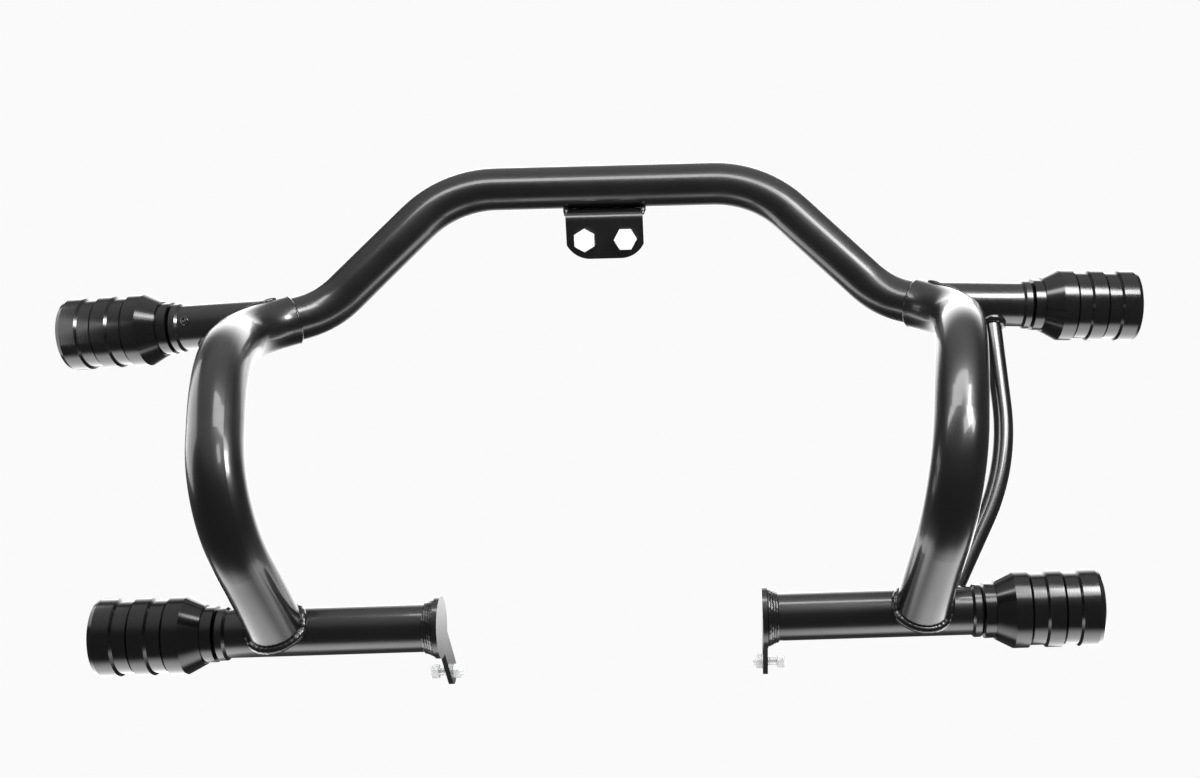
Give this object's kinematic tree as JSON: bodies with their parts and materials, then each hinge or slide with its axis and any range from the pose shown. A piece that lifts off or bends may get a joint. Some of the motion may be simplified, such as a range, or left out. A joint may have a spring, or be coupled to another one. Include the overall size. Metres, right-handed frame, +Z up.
{
  "type": "motorcycle crash bars",
  "caption": "Welded tube frame with a bent top bar, bulging side loops, outward stubs carrying ribbed plastic sliders, flange plates and a bolted centre bracket.",
  "frame": {"origin": "on the back face of the centre bracket, halfway between its two studs", "axes": "+X to the right as the picture shows it, +Y to the back, away from the camera, +Z up"},
  "size_m": [0.6974, 0.2486, 0.3023],
  "materials": {
    "powder_coat": "gloss black powder coat on steel",
    "slider_plastic": "turned black nylon, satin",
    "zinc_plate": "bright zinc plate",
    "black_oxide": "black oxide"
  },
  "bodies": {
    "root": {"brace_rod_left": "powder_coat", "brace_rod_right": "powder_coat", "bracket_bolt_left": "zinc_plate", "bracket_bolt_right": "zinc_plate", "centre_bracket": "powder_coat", "crossbar": "powder_coat", "flange_bolt_left": "zinc_plate", "flange_bolt_right": "zinc_plate", "flange_nut_left": "zinc_plate", "flange_nut_right": "zinc_plate", "flange_plate_left": "powder_coat", "flange_plate_right": "powder_coat", "loop_left": "powder_coat", "loop_right": "powder_coat", "lower_left_plug": "powder_coat", "lower_left_slider": "slider_plastic", "lower_left_slider_bolt": "black_oxide", "lower_left_slider_washer": "zinc_plate", "lower_right_plug": "powder_coat", "lower_right_slider": "slider_plastic", "lower_right_slider_bolt": "black_oxide", "lower_right_slider_washer": "zinc_plate", "lower_stub_left": "powder_coat", "lower_stub_right": "powder_coat", "upper_left_plug": "powder_coat", "upper_left_slider": "slider_plastic", "upper_left_slider_bolt": "black_oxide", "upper_left_slider_washer": "zinc_plate", "upper_right_plug": "powder_coat", "upper_right_slider": "slider_plastic", "upper_right_slider_bolt": "black_oxide", "upper_right_slider_washer": "zinc_plate", "upper_stub_left": "powder_coat", "upper_stub_right": "powder_coat"}
  },
  "joints": []
}
